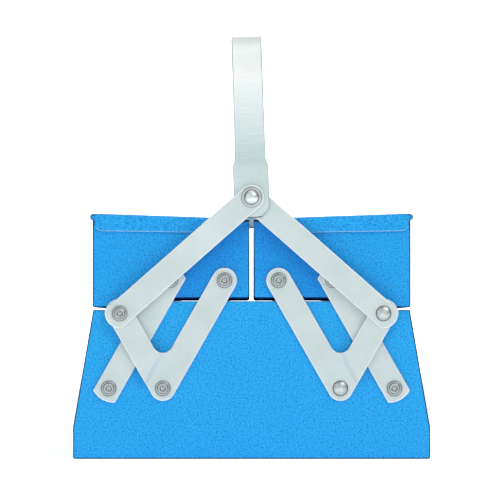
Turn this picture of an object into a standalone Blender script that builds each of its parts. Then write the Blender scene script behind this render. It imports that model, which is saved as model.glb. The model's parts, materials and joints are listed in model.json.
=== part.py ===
"""Cantilever box in sheet steel.

A base, two trays that swing out on flat steel links at both ends, a lid hinged along the
outer edge of each tray, and a strap handle over the top.  Metres, +X across the box, +Y
along it, +Z up.  The origin is under the middle of the base.

Most pieces come in mirrored sets: side is +1 on the right and -1 on the left, end is -1 at
the front and +1 at the rear.  Sizes along Y are given as the distance out from the outer
face of an end panel, because the straps are stacked there in layers.
"""
from math import asin, cos, pi, radians, sin, sqrt

import bmesh
import bpy
from mathutils import Matrix, Vector

MM = 0.001
GAP = 0.3 * MM                      # kept between pieces that touch

# Base
HALF_LENGTH = 210.0 * MM            # middle of the box to the outer face of an end panel
SHEET = 0.8 * MM
FOOT_HALF = 112.5 * MM
KINK_Z = 20.0 * MM                  # the side walls are upright up to here, then lean in
RIM_HALF = 99.8 * MM
RIM_Z = 93.9 * MM
PANEL_MIDDLE_Z = 99.5 * MM          # the end panels stand higher between the two steps
PANEL_STEP_X = 79.5 * MM
FOLD_R = 1.6 * MM
HEM_R = 1.2 * MM
HEM_DEPTH = 5.0 * MM

# Trays
TRAY_INNER_X = 1.3 * MM
TRAY_OUTER_X = 100.2 * MM
TRAY_LOW_Z = 95.4 * MM              # underside outboard of the step
TRAY_HIGH_Z = 101.2 * MM            # underside inboard of the step
TRAY_STEP_X = 80.6 * MM
TRAY_WALL_TOP_Z = 150.4 * MM
TRAY_INNER_TOP_Z = 148.9 * MM
DIVIDER_Y = 70.0 * MM
DIVIDER_HEIGHT = 38.0 * MM

# Lids and their hinges
HINGE_X = 99.7 * MM
HINGE_Z = 152.4 * MM
KNUCKLE_R = 1.5 * MM
KNUCKLE_BORE_R = 0.9 * MM
HINGE_PIN_R = 0.6 * MM
KNUCKLES = 7                        # along each hinge, the lid having the odd ones
KNUCKLE_GAP = 0.5 * MM
LID_INNER_X = 1.3 * MM
LID_SHEET_X = 97.9 * MM             # where the sheet ends and the knuckles' tabs begin
TRAY_NOTCH_X = 95.9 * MM            # how far in the tray's hinge edge is notched
LID_INTO_KNUCKLE = 0.72 * MM        # from the pin's axis to the edge of the lid's sheet
CUT_CLEARANCE = 4.5 * MM            # how far a notch cutter runs past the hinge
LID_TOP_Z = 153.9 * MM              # at the hinge
LID_FALL = 3.4 * MM                 # the lid is this much lower at the middle of the box
FLANGE_GAP = 0.4 * MM               # between an end panel and the lid's end flange
FLANGE_INNER_X = 15.0 * MM
FLANGE_OUTER_X = 99.3 * MM
FLANGE_DEPTH = 10.3 * MM            # at its outer end
FLANGE_INNER_DEPTH = 8.7 * MM
FLANGE_CORNER_R = 5.0 * MM

# Linkage: pivots, seen from the front, for the right-hand side
CRANK_PIVOT_X = 55.9 * MM
LINK_SPACING = 34.1 * MM
PIVOT_Z = 44.4 * MM
LEG_LENGTH = 78.4 * MM
LEG_LEAN = radians(29.7)
SHORT_LEG_LENGTH = 54.4 * MM
SHORT_LEG_LEAN = radians(29.8)
ARM_LENGTH = 110.45 * MM

# Straps and their layers, from the end panel's face to a strap's near face
STRAP = 2.0 * MM
STRAP_HALF = 7.9 * MM
ARM_END_REACH = 9.2 * MM            # blunt round ends at the joint of arm and crank
ARM_END_R = 10.0 * MM
LINK_END_REACH = 8.1 * MM           # flatter ends on the straight links
LINK_END_R = 15.0 * MM
CROTCH_R = 6.5 * MM
LEG_LAYER = 0.5 * MM
SHORT_LEG_LAYER = 4.5 * MM
ARM_LAYER = 6.8 * MM
LUG_LAYER = 9.1 * MM
ARM_TOP_LAYER = 11.4 * MM
JOGGLE_START = 9.0 * MM             # from the middle line of the crank's long leg
JOGGLE_RUN = 4.5 * MM
ARM_OFFSET_START = 20.0 * MM        # from the handle's pivot, down the left arm
ARM_OFFSET_RUN = 45.0 * MM

# Rivets
SHANK_R = 2.0 * MM
HOLE_R = 2.4 * MM
LOOSE_HOLE_R = 2.9 * MM             # the right arm's hole for the handle's rivet
HEAD_R = 4.85 * MM
HEAD_HEIGHT = 1.4 * MM
WELL_R = 1.9 * MM
WELL_DEPTH = 0.7 * MM
RING_INNER_R = 2.7 * MM
RING_OUTER_R = 3.6 * MM
BACK_HEAD_R = 4.2 * MM
BACK_HEAD_HEIGHT = 1.2 * MM
BACK_HEAD_TAPER = 0.5 * MM
TOP_HEAD_R = 4.6 * MM
TOP_HEAD_HEIGHT = 2.6 * MM
WASHER_R = 6.4 * MM
WASHER = 0.8 * MM
WASHER_EDGE = 0.3 * MM

# Handle
HANDLE_TOP = 101.6 * MM             # above its pivot
HANDLE_LEAN = radians(-1.9)
HANDLE_BEND_R = 30.0 * MM
LUG_HALF = 11.2 * MM
LUG_BELOW = 12.9 * MM
LUG_CORNER_R = 9.0 * MM
LUG_ABOVE = 21.0 * MM
LUG_JOGGLE = 3.5 * MM
HANDLE_LAYER = 6.1 * MM             # above the joggle
HANDLE_LOW_HALF = 9.65 * MM
HANDLE_TOP_HALF = 9.1 * MM

ARC_STEPS = 8
ROUND_STEPS = 16                    # sides of holes and hinge tubes
TURNED_STEPS = 12                   # sides of rivets and washers
SIDES = (("right", 1), ("left", -1))
ENDS = (("front", -1), ("rear", 1))

CRANK_PIVOT = Vector((CRANK_PIVOT_X, 0.0, PIVOT_Z))
LINK_PIVOT = CRANK_PIVOT + Vector((LINK_SPACING, 0.0, 0.0))
LEG = Vector((-sin(LEG_LEAN), 0.0, cos(LEG_LEAN)))
SHORT_LEG = Vector((sin(SHORT_LEG_LEAN), 0.0, cos(SHORT_LEG_LEAN)))
TRAY_PIVOT = CRANK_PIVOT + LEG * LEG_LENGTH
LINK_TOP = LINK_PIVOT + LEG * LEG_LENGTH
ARM_PIVOT = CRANK_PIVOT + SHORT_LEG * SHORT_LEG_LENGTH
HANDLE_PIVOT = Vector((0.0, 0.0, ARM_PIVOT.z + sqrt(ARM_LENGTH ** 2 - ARM_PIVOT.x ** 2)))
HINGE = Vector((HINGE_X, 0.0, HINGE_Z))
WALL_SLOPE = (FOOT_HALF - RIM_HALF) / (RIM_Z - KINK_Z)
LID_SLOPE = LID_FALL / (HINGE_X - LID_INNER_X)

for old in list(bpy.data.objects):
    bpy.data.objects.remove(old, do_unlink=True)

box_parts = bpy.data.collections.new("cantilever_box")
cutters = bpy.data.collections.new("cantilever_box_cutters")
bpy.context.scene.collection.children.link(box_parts)
bpy.context.scene.collection.children.link(cutters)


# ---------------------------------------------------------------- materials

def steel(name, colour, roughness, metallic):
    material = bpy.data.materials.new(name)
    material.use_nodes = True
    shader = material.node_tree.nodes["Principled BSDF"]
    shader.inputs["Base Color"].default_value = (*colour, 1.0)
    shader.inputs["Roughness"].default_value = roughness
    shader.inputs["Metallic"].default_value = metallic
    return material


BASE_PAINT = steel("base_paint", (0.02, 0.29, 0.78), 0.45, 0.1)
TRAY_PAINT = steel("tray_paint", (0.03, 0.31, 0.80), 0.45, 0.1)
LID_PAINT = steel("lid_paint", (0.03, 0.33, 0.82), 0.42, 0.1)
STRAP_ZINC = steel("strap_zinc", (0.66, 0.72, 0.72), 0.5, 0.4)
HANDLE_ZINC = steel("handle_zinc", (0.72, 0.77, 0.77), 0.45, 0.4)
RIVET_STEEL = steel("rivet_steel", (0.50, 0.54, 0.54), 0.3, 0.9)
PIN_STEEL = steel("pin_steel", (0.45, 0.46, 0.47), 0.35, 0.9)


# ---------------------------------------------------------------- modelling helpers

def new_object(name, mesh, material=None, collection=box_parts):
    piece = bpy.data.objects.new(name, mesh)
    collection.objects.link(piece)
    if material:
        mesh.materials.append(material)
    return piece


def finish_mesh(name, shape, material, origin, smooth_angle=None):
    """A bmesh in world places becomes an object whose origin is on its joint's axis."""
    shape.transform(Matrix.Translation(-origin))
    mesh = bpy.data.meshes.new(name)
    shape.to_mesh(mesh)
    shape.free()
    if smooth_angle:
        mesh.shade_smooth()
        mesh.set_sharp_from_angle(angle=smooth_angle)
    piece = new_object(name, mesh, material)
    piece.location = origin
    return piece


def arc(centre, radius, start, stop, steps=ARC_STEPS):
    """Points (x, z) on an arc, both ends included, angles in radians from +X towards +Z."""
    turns = [start + (stop - start) * i / steps for i in range(steps + 1)]
    return [(centre[0] + radius * cos(t), centre[1] + radius * sin(t)) for t in turns]


def hole(centre, radius=HOLE_R):
    return arc(centre, radius, 0.0, 2 * pi, ROUND_STEPS)[:-1]


def flat_plate(name, loops, thickness):
    """Closed plate from its outline and holes (x, z), its near face at y = 0, growing to +y."""
    curve = bpy.data.curves.new(name, "CURVE")
    curve.dimensions = "2D"
    curve.fill_mode = "BOTH"
    curve.extrude = thickness / 2
    for loop in loops:
        spline = curve.splines.new("POLY")
        spline.points.add(len(loop) - 1)
        for point, (x, z) in zip(spline.points, loop):
            point.co = (x, z, 0.0, 1.0)
        spline.use_cyclic_u = True
    outline = bpy.data.objects.new(name, curve)
    outline.rotation_euler.x = pi / 2
    outline.location.y = thickness / 2
    cutters.objects.link(outline)
    bpy.context.view_layer.update()
    evaluated = outline.evaluated_get(bpy.context.evaluated_depsgraph_get())
    mesh = bpy.data.meshes.new_from_object(evaluated)
    shape = bmesh.new()
    shape.from_mesh(mesh)
    shape.transform(outline.matrix_world)
    bmesh.ops.remove_doubles(shape, verts=shape.verts, dist=0.001 * MM)
    bpy.data.meshes.remove(mesh)
    bpy.data.objects.remove(outline)
    bpy.data.curves.remove(curve)
    return shape


def mirror_into_place(shape, side, end):
    """From right-hand side and distance outward from the panel, to world places."""
    for vertex in shape.verts:
        x, out, z = vertex.co
        vertex.co = (side * x, end * (HALF_LENGTH + out), z)
    if side * end < 0:
        bmesh.ops.reverse_faces(shape, faces=shape.faces)


def smooth_step(t):
    t = min(max(t, 0.0), 1.0)
    return t * t * (3 - 2 * t)


def offset_band(shape, start, direction, run, rise, bends):
    """Moves what lies beyond start, measured along direction, outward by rise over run."""
    for i in range(bends + 1):
        cut = start + direction * (run * i / bends)
        everything = shape.verts[:] + shape.edges[:] + shape.faces[:]
        bmesh.ops.bisect_plane(shape, geom=everything, plane_co=cut, plane_no=direction)
    for vertex in shape.verts:
        along = (vertex.co - start).dot(direction)
        vertex.co.y += rise * smooth_step(along / run)


def folded_sheet(name, section, half_length, outward):
    """Open surface through a section (x, z), run along Y; outward is +1 or -1 for Solidify."""
    shape = bmesh.new()
    points = [shape.verts.new((x, -half_length, z)) for x, z in section]
    edges = [shape.edges.new(pair) for pair in zip(points, points[1:])]
    swept = bmesh.ops.extrude_edge_only(shape, edges=edges)["geom"]
    moved = [part for part in swept if isinstance(part, bmesh.types.BMVert)]
    bmesh.ops.translate(shape, verts=moved, vec=(0.0, 2 * half_length, 0.0))
    if outward > 0:
        bmesh.ops.reverse_faces(shape, faces=shape.faces)
    return shape


def add_thickness(piece, thickness, offset=-1.0):
    solid = piece.modifiers.new("sheet", "SOLIDIFY")
    solid.thickness = thickness
    solid.offset = offset
    solid.use_even_offset = True
    return solid


def join_solid(piece, other, operation):
    """Cuts other from piece, or unites them; other stays hidden among the cutters."""
    other.hide_render = True
    other.display_type = "WIRE"
    modifier = piece.modifiers.new(other.name, "BOOLEAN")
    modifier.operation = operation
    modifier.solver = "EXACT"
    modifier.object = other


def turned(name, profile, end, pivot, material):
    """Turned piece about Y from (radius, distance out from the panel), outermost first."""
    mesh = bpy.data.meshes.new(name)
    points = [(radius, 0.0, out) for radius, out in profile]
    mesh.from_pydata(points, [(i, i + 1) for i in range(len(points) - 1)], [])
    piece = new_object(name, mesh, material)
    screw = piece.modifiers.new("turn", "SCREW")
    screw.steps = TURNED_STEPS
    screw.render_steps = TURNED_STEPS
    screw.use_merge_vertices = True
    screw.merge_threshold = 0.001 * MM
    screw.use_smooth_shade = True
    piece.rotation_euler.x = -end * pi / 2
    piece.location = (pivot.x, end * HALF_LENGTH, pivot.z)
    return piece


# ---------------------------------------------------------------- base

def base_wall_x(z):
    return FOOT_HALF - max(z - KINK_Z, 0.0) * WALL_SLOPE


def base_pan():
    """Floor and two long walls in one folded sheet, with a hem along each rim."""
    rim_centre = (RIM_HALF - HEM_R, RIM_Z - HEM_R)
    half = arc(rim_centre, HEM_R, pi, 0.0)
    half.insert(0, (rim_centre[0] - HEM_R, rim_centre[1] - HEM_DEPTH))
    half.append((FOOT_HALF, KINK_Z))
    half += arc((FOOT_HALF - FOLD_R, FOLD_R), FOLD_R, 0.0, -pi / 2, 4)
    section = half + [(-x, z) for x, z in reversed(half)]
    inner_length = HALF_LENGTH - SHEET - GAP
    shape = folded_sheet("base_pan", section, inner_length, 1)
    piece = finish_mesh("base_pan", shape, BASE_PAINT, Vector())
    add_thickness(piece, SHEET)


def base_end(end_name, end):
    half = [(PANEL_STEP_X, PANEL_MIDDLE_Z), (PANEL_STEP_X, RIM_Z), (RIM_HALF, RIM_Z), (FOOT_HALF, KINK_Z)]
    half += arc((FOOT_HALF - FOLD_R, FOLD_R), FOLD_R, 0.0, -pi / 2, 4)
    outline = half + [(-x, z) for x, z in reversed(half)]
    pivots = [(sign * pivot.x, pivot.z) for sign in (1, -1) for pivot in (CRANK_PIVOT, LINK_PIVOT)]
    name = "base_end_" + end_name
    shape = flat_plate(name, [outline] + [hole(pivot) for pivot in pivots], SHEET)
    bmesh.ops.translate(shape, verts=shape.verts, vec=(0.0, -SHEET, 0.0))
    mirror_into_place(shape, 1, end)
    finish_mesh(name, shape, BASE_PAINT, Vector())


# ---------------------------------------------------------------- trays

def lid_top_z(x):
    """Height of the lid's upper face, x from the middle of the box."""
    return LID_TOP_Z - (HINGE_X - x) * LID_SLOPE


def lid_under_z(x):
    return lid_top_z(x) - SHEET


def cutter_from(shape, name):
    mesh = bpy.data.meshes.new(name)
    shape.to_mesh(mesh)
    shape.free()
    return new_object(name, mesh, collection=cutters)


def along_box(shape, side, start):
    """Stands a plate's thickness along the box, from start, on the side it belongs to."""
    for vertex in shape.verts:
        vertex.co = (side * vertex.co.x, vertex.co.y + start, vertex.co.z)
    if side < 0:
        bmesh.ops.reverse_faces(shape, faces=shape.faces)
    return shape


def add_knuckles(piece, side, half_length, cut_x, cut_z, first_cut):
    """A hinge tube along the whole edge, cut away where the other leaf's knuckles are."""
    centre = (HINGE_X, HINGE_Z)
    tube = flat_plate("tube", [hole(centre, KNUCKLE_R), hole(centre, KNUCKLE_BORE_R)], 2 * half_length)
    along_box(tube, side, -half_length)
    join_solid(piece, cutter_from(tube, piece.name + "_tube"), "UNION")
    pitch = 2 * HALF_LENGTH / KNUCKLES
    outer_x = HINGE_X + CUT_CLEARANCE
    outer_z = HINGE_Z + CUT_CLEARANCE
    notches = bmesh.new()
    for number in range(first_cut, KNUCKLES, 2):
        low_y = -HALF_LENGTH + number * pitch - KNUCKLE_GAP / 2
        high_y = low_y + pitch + KNUCKLE_GAP
        if number == 0:
            low_y -= CUT_CLEARANCE
        if number == KNUCKLES - 1:
            high_y += CUT_CLEARANCE
        size = Vector((outer_x - cut_x, high_y - low_y, outer_z - cut_z))
        middle = Vector((side * (outer_x + cut_x), low_y + high_y, outer_z + cut_z)) / 2
        place = Matrix.Translation(middle) @ Matrix.Diagonal((*size, 1.0))
        bmesh.ops.create_cube(notches, size=1.0, matrix=place)
    join_solid(piece, cutter_from(notches, piece.name + "_notches"), "DIFFERENCE")


def tray_pan(side_name, side):
    """Two walls and a stepped floor in one folded sheet; the outer wall carries knuckles."""
    r = FOLD_R
    section = [(TRAY_OUTER_X, HINGE_Z - (KNUCKLE_R + KNUCKLE_BORE_R) / 2)]
    section += arc((TRAY_OUTER_X - r, TRAY_LOW_Z + r), r, 0.0, -pi / 2, 4)
    section += [(TRAY_STEP_X, TRAY_LOW_Z), (TRAY_STEP_X - SHEET, TRAY_HIGH_Z)]
    section += arc((TRAY_INNER_X + r, TRAY_HIGH_Z + r), r, -pi / 2, -pi, 4)
    section += [(TRAY_INNER_X, TRAY_INNER_TOP_Z)]
    name = f"tray_{side_name}_pan"
    shape = folded_sheet(name, [(side * x, z) for x, z in section], HALF_LENGTH - SHEET - GAP, side)
    piece = finish_mesh(name, shape, TRAY_PAINT, Vector())
    add_thickness(piece, SHEET)
    add_knuckles(piece, side, HALF_LENGTH - SHEET - GAP, TRAY_NOTCH_X, TRAY_WALL_TOP_Z, 0)
    shape_origin(piece, Vector((side * TRAY_PIVOT.x, 0.0, TRAY_PIVOT.z)))


def tray_end(side_name, side, end_name, end):
    inner_top = lid_under_z(TRAY_INNER_X) - GAP
    notch_x = LID_SHEET_X - GAP
    r = FOLD_R
    outline = [(TRAY_INNER_X, inner_top), (notch_x, lid_under_z(notch_x) - GAP), (notch_x, TRAY_WALL_TOP_Z)]
    outline.append((TRAY_OUTER_X, TRAY_WALL_TOP_Z))
    outline += arc((TRAY_OUTER_X - r, TRAY_LOW_Z + r), r, 0.0, -pi / 2, 4)
    outline += [(TRAY_STEP_X, TRAY_LOW_Z), (TRAY_STEP_X - SHEET, TRAY_HIGH_Z)]
    outline += arc((TRAY_INNER_X + r, TRAY_HIGH_Z + r), r, -pi / 2, -pi, 4)
    name = f"tray_{side_name}_end_{end_name}"
    holes = [hole((pivot.x, pivot.z)) for pivot in (TRAY_PIVOT, LINK_TOP)]
    shape = flat_plate(name, [outline] + holes, SHEET)
    bmesh.ops.translate(shape, verts=shape.verts, vec=(0.0, -SHEET, 0.0))
    mirror_into_place(shape, side, end)
    finish_mesh(name, shape, TRAY_PAINT, Vector((side * TRAY_PIVOT.x, 0.0, TRAY_PIVOT.z)))


def tray_divider(side_name, side, place_name, y):
    clear = SHEET + GAP
    floor = TRAY_HIGH_Z + clear
    step = TRAY_STEP_X + clear
    outer = TRAY_OUTER_X - clear
    low = TRAY_LOW_Z + clear
    inner = TRAY_INNER_X + clear
    r = FOLD_R
    top = TRAY_HIGH_Z + DIVIDER_HEIGHT
    outline = [(inner, top), (outer, top)]
    outline += arc((outer - r, low + r), r, 0.0, -pi / 2, 4)
    outline += [(step, low), (step, floor)]
    outline += arc((inner + r, floor + r), r, -pi / 2, -pi, 4)
    name = f"tray_{side_name}_divider_{place_name}"
    shape = along_box(flat_plate(name, [outline], SHEET), side, y - SHEET / 2)
    finish_mesh(name, shape, TRAY_PAINT, Vector((side * TRAY_PIVOT.x, 0.0, TRAY_PIVOT.z)))


def shape_origin(piece, origin):
    """Moves a piece's origin onto its joint's axis and leaves its shape in place."""
    piece.data.transform(Matrix.Translation(-origin))
    piece.location = origin


# ---------------------------------------------------------------- lids

def lid(side_name, side):
    """Sloping top with an end flange turned down at both ends, short of the middle."""
    reach = HALF_LENGTH + FLANGE_GAP + SHEET
    outer = HINGE_X - LID_INTO_KNUCKLE
    outline = [(LID_INNER_X, lid_under_z(LID_INNER_X)), (outer, lid_under_z(outer))]
    outline += [(outer, lid_top_z(outer)), (LID_INNER_X, lid_top_z(LID_INNER_X))]
    name = "lid_" + side_name
    shape = along_box(flat_plate(name, [outline], 2 * reach), side, -reach)
    piece = finish_mesh(name, shape, LID_PAINT, Vector())
    add_knuckles(piece, side, reach, LID_SHEET_X, HINGE_Z - CUT_CLEARANCE, 1)
    for end_name, end in ENDS:
        corner_z = lid_top_z(FLANGE_OUTER_X) - FLANGE_DEPTH + FLANGE_CORNER_R
        corner = (FLANGE_OUTER_X - FLANGE_CORNER_R, corner_z)
        flange = [(FLANGE_OUTER_X, lid_top_z(FLANGE_OUTER_X) - SHEET / 2)]
        flange.append((FLANGE_INNER_X, lid_top_z(FLANGE_INNER_X) - SHEET / 2))
        flange.append((FLANGE_INNER_X, lid_top_z(FLANGE_INNER_X) - FLANGE_INNER_DEPTH))
        flange += arc(corner, FLANGE_CORNER_R, -pi / 2, 0.0)
        wing = flat_plate(name, [flange], SHEET)
        bmesh.ops.translate(wing, verts=wing.verts, vec=(0.0, FLANGE_GAP, 0.0))
        mirror_into_place(wing, side, end)
        join_solid(piece, cutter_from(wing, f"{name}_flange_{end_name}"), "UNION")
    shape_origin(piece, Vector((side * HINGE.x, 0.0, HINGE.z)))


def hinge_pin(side_name, side):
    shape = bmesh.new()
    bmesh.ops.create_cone(shape, cap_ends=True, segments=10, radius1=HINGE_PIN_R, radius2=HINGE_PIN_R,
                          depth=2 * (HALF_LENGTH - SHEET))
    shape.transform(Matrix.Rotation(pi / 2, 4, "X"))
    place = Vector((side * HINGE.x, 0.0, HINGE.z))
    shape.transform(Matrix.Translation(place))
    finish_mesh(f"hinge_pin_{side_name}", shape, PIN_STEEL, place, radians(40))


# ---------------------------------------------------------------- straps

def leg_frame(pivot, direction):
    """Maps (along, across) of a strap to (x, z); across is to the right of its direction."""
    def place(points):
        right = Vector((direction.z, 0.0, -direction.x))
        spots = [pivot + direction * along + right * across for along, across in points]
        return [(spot.x, spot.z) for spot in spots]
    return place


def round_end():
    """Half circle of the strap's own width round its pivot at (0, 0)."""
    turns = [pi * i / ARC_STEPS for i in range(ARC_STEPS + 1)]
    return [(STRAP_HALF * sin(t), STRAP_HALF * cos(t)) for t in turns]


def blunt_end(reach, radius):
    """Arc across the strap's full width, its middle past the pivot at (0, 0) by reach."""
    half_angle = asin(STRAP_HALF / radius)
    turns = [half_angle - 2 * half_angle * i / ARC_STEPS for i in range(ARC_STEPS + 1)]
    return [(reach - radius + radius * cos(t), radius * sin(t)) for t in turns]


def at_far_end(points, length):
    return [(length + along, across) for along, across in points]


def at_near_end(points):
    return [(-along, -across) for along, across in points]


def link(side_name, side, end_name, end):
    """Straight strap from the base to the tray's outer pivot."""
    tip = blunt_end(LINK_END_REACH, LINK_END_R)
    place = leg_frame(LINK_PIVOT, LEG)
    name = f"link_{side_name}_{end_name}"
    holes = [hole((pivot.x, pivot.z)) for pivot in (LINK_PIVOT, LINK_TOP)]
    shape = flat_plate(name, [place(at_far_end(tip, LEG_LENGTH) + at_near_end(tip))] + holes, STRAP)
    bmesh.ops.translate(shape, verts=shape.verts, vec=(0.0, LEG_LAYER, 0.0))
    mirror_into_place(shape, side, end)
    finish_mesh(name, shape, STRAP_ZINC, Vector((side * LINK_PIVOT.x, 0.0, LINK_PIVOT.z)))


def crank_outline():
    """V of a long leg to the tray and a short leg to the arm, round at the base pivot."""
    long_leg = leg_frame(CRANK_PIVOT, LEG)
    short_leg = leg_frame(CRANK_PIVOT, SHORT_LEG)
    half_v = (LEG_LEAN + SHORT_LEG_LEAN) / 2
    tilt = (SHORT_LEG_LEAN - LEG_LEAN) / 2
    reach = (STRAP_HALF + CROTCH_R) / sin(half_v)
    crotch = CRANK_PIVOT + Vector((sin(tilt), 0.0, cos(tilt))) * reach
    outline = arc((crotch.x, crotch.z), CROTCH_R, -SHORT_LEG_LEAN, LEG_LEAN - pi)
    outline += long_leg(at_far_end(round_end(), LEG_LENGTH))
    foot = (CRANK_PIVOT.x, CRANK_PIVOT.z)
    outline += arc(foot, STRAP_HALF, pi + LEG_LEAN, 2 * pi - SHORT_LEG_LEAN)
    outline += short_leg(at_far_end(blunt_end(ARM_END_REACH, ARM_END_R), SHORT_LEG_LENGTH))
    return outline


def crank(side_name, side, end_name, end):
    """V strap; its short leg is joggled out to pass over the link."""
    holes = [hole((pivot.x, pivot.z)) for pivot in (CRANK_PIVOT, TRAY_PIVOT, ARM_PIVOT)]
    name = f"crank_{side_name}_{end_name}"
    shape = flat_plate(name, [crank_outline()] + holes, STRAP)
    across = Vector((LEG.z, 0.0, -LEG.x))
    start = CRANK_PIVOT + across * JOGGLE_START
    offset_band(shape, start, across, JOGGLE_RUN, SHORT_LEG_LAYER - LEG_LAYER, 3)
    bmesh.ops.translate(shape, verts=shape.verts, vec=(0.0, LEG_LAYER, 0.0))
    mirror_into_place(shape, side, end)
    finish_mesh(name, shape, STRAP_ZINC, Vector((side * CRANK_PIVOT.x, 0.0, CRANK_PIVOT.z)))


def arm(side_name, side, end_name, end):
    """Strap from the crank up to the handle's rivet; the left one lies over the handle's lug."""
    direction = (HANDLE_PIVOT - ARM_PIVOT).normalized()
    place = leg_frame(ARM_PIVOT, direction)
    outline = place(at_far_end(round_end(), ARM_LENGTH) + at_near_end(blunt_end(ARM_END_REACH, ARM_END_R)))
    top_hole = hole((HANDLE_PIVOT.x, HANDLE_PIVOT.z), LOOSE_HOLE_R if side > 0 else HOLE_R)
    name = f"arm_{side_name}_{end_name}"
    shape = flat_plate(name, [outline, hole((ARM_PIVOT.x, ARM_PIVOT.z)), top_hole], STRAP)
    if side < 0:
        start = HANDLE_PIVOT - direction * (ARM_OFFSET_START + ARM_OFFSET_RUN)
        offset_band(shape, start, direction, ARM_OFFSET_RUN, ARM_TOP_LAYER - ARM_LAYER, 6)
    bmesh.ops.translate(shape, verts=shape.verts, vec=(0.0, ARM_LAYER, 0.0))
    mirror_into_place(shape, side, end)
    finish_mesh(name, shape, STRAP_ZINC, Vector((side * ARM_PIVOT.x, 0.0, ARM_PIVOT.z)))


# ---------------------------------------------------------------- rivets

def rivet(name, end, pivot, head, seat, back):
    """Turns a rivet from its head's profile; seat and back are where its two heads bear."""
    foot = back - BACK_HEAD_HEIGHT
    shank = [(SHANK_R, seat), (SHANK_R, back)]
    back_head = [(BACK_HEAD_R, back), (BACK_HEAD_R - BACK_HEAD_TAPER, foot), (0.0, foot)]
    turned(name, head + shank + back_head, end, pivot, RIVET_STEEL)


def rolled_head(seat):
    """Head of a tubular rivet: a rolled ring round a shallow well."""
    top = seat + HEAD_HEIGHT
    well = top - WELL_DEPTH
    ring = [(0.0, well), (WELL_R, well), (RING_INNER_R, top), (RING_OUTER_R, top)]
    return ring + [(HEAD_R, well), (HEAD_R, seat)]


def domed_head(seat, radius, height, steps=5):
    turns = [pi / 2 * i / steps for i in range(steps + 1)]
    return [(radius * sin(t), seat + height * cos(t)) for t in turns]


def side_rivets(side_name, side, end_name, end):
    strap_face = LEG_LAYER + STRAP + GAP
    panel_back = -SHEET - GAP
    places = (
        ("base_crank", CRANK_PIVOT, strap_face, panel_back),
        ("base_link", LINK_PIVOT, strap_face, panel_back),
        ("tray_crank", TRAY_PIVOT, strap_face, panel_back),
        ("tray_link", LINK_TOP, strap_face, panel_back),
        ("crank_arm", ARM_PIVOT, ARM_LAYER + STRAP + GAP, SHORT_LEG_LAYER - GAP),
    )
    for kind, pivot, seat, back in places:
        name = f"rivet_{kind}_{side_name}_{end_name}"
        spot = Vector((side * pivot.x, 0.0, pivot.z))
        domed = side > 0 and kind in ("crank_arm", "base_crank")
        head = domed_head(seat, HEAD_R, HEAD_HEIGHT) if domed else rolled_head(seat)
        rivet(name, end, spot, head, seat, back)


def handle_rivet(end_name, end):
    washer_seat = ARM_TOP_LAYER + STRAP + GAP
    head_seat = washer_seat + WASHER + GAP
    head = domed_head(head_seat, TOP_HEAD_R, TOP_HEAD_HEIGHT)
    rivet("rivet_handle_" + end_name, end, HANDLE_PIVOT, head, head_seat, ARM_LAYER - GAP)
    face = washer_seat + WASHER
    ring = [(HOLE_R, face), (WASHER_R - WASHER_EDGE, face), (WASHER_R, face - WASHER_EDGE)]
    ring += [(WASHER_R, washer_seat), (HOLE_R, washer_seat), (HOLE_R, face)]
    turned("washer_handle_" + end_name, ring, end, HANDLE_PIVOT, RIVET_STEEL)


# ---------------------------------------------------------------- handle

def handle_stations():
    """Middle line (y, height above the pivot) and half width, from the front lug to the top."""
    lug_y = -(HALF_LENGTH + LUG_LAYER + STRAP / 2)
    leg_y = -(HALF_LENGTH + HANDLE_LAYER + STRAP / 2)
    bend_start = HANDLE_TOP - STRAP / 2 - HANDLE_BEND_R
    stations = []
    for i in range(5):
        turn = pi / 2 * i / 4
        rise = LUG_CORNER_R * (1 - cos(turn))
        stations.append((lug_y, rise - LUG_BELOW, LUG_HALF - LUG_CORNER_R * (1 - sin(turn))))
    stations.append((lug_y, LUG_ABOVE, LUG_HALF))
    for i in range(1, 4):
        part = smooth_step(i / 3)
        y = lug_y + (leg_y - lug_y) * part
        stations.append((y, LUG_ABOVE + LUG_JOGGLE * i / 3, LUG_HALF + (HANDLE_LOW_HALF - LUG_HALF) * part))
    for i in range(9):
        turn = pi / 2 * i / 8
        y = leg_y + HANDLE_BEND_R * (1 - cos(turn))
        stations.append((y, bend_start + HANDLE_BEND_R * sin(turn), HANDLE_TOP_HALF))
    return stations


def handle():
    """One flat strap bent over the whole box, with a wider lug at each end."""
    half = handle_stations()
    stations = half + [(-y, z, width) for y, z, width in reversed(half)]
    shape = bmesh.new()
    bmesh.ops.create_grid(shape, x_segments=2, y_segments=len(stations) - 1, size=1.0)
    rows = sorted({round(vertex.co.y, 6) for vertex in shape.verts})
    for vertex in shape.verts:
        y, z, width = stations[rows.index(round(vertex.co.y, 6))]
        vertex.co = (vertex.co.x * width, y, z)
    shape.transform(Matrix.Rotation(HANDLE_LEAN, 4, "Y"))
    shape.transform(Matrix.Translation(HANDLE_PIVOT))
    piece = finish_mesh("handle", shape, HANDLE_ZINC, HANDLE_PIVOT, radians(40))
    add_thickness(piece, STRAP, 0.0)
    drill = bmesh.new()
    bmesh.ops.create_cone(drill, cap_ends=True, segments=ROUND_STEPS, radius1=HOLE_R, radius2=HOLE_R,
                          depth=2 * HALF_LENGTH + 60 * MM)
    drill.transform(Matrix.Rotation(pi / 2, 4, "X"))
    mesh = bpy.data.meshes.new("handle_drill")
    drill.to_mesh(mesh)
    drill.free()
    cutter = new_object("handle_drill", mesh, collection=cutters)
    cutter.location = HANDLE_PIVOT
    join_solid(piece, cutter, "DIFFERENCE")


# ---------------------------------------------------------------- assembly

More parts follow.
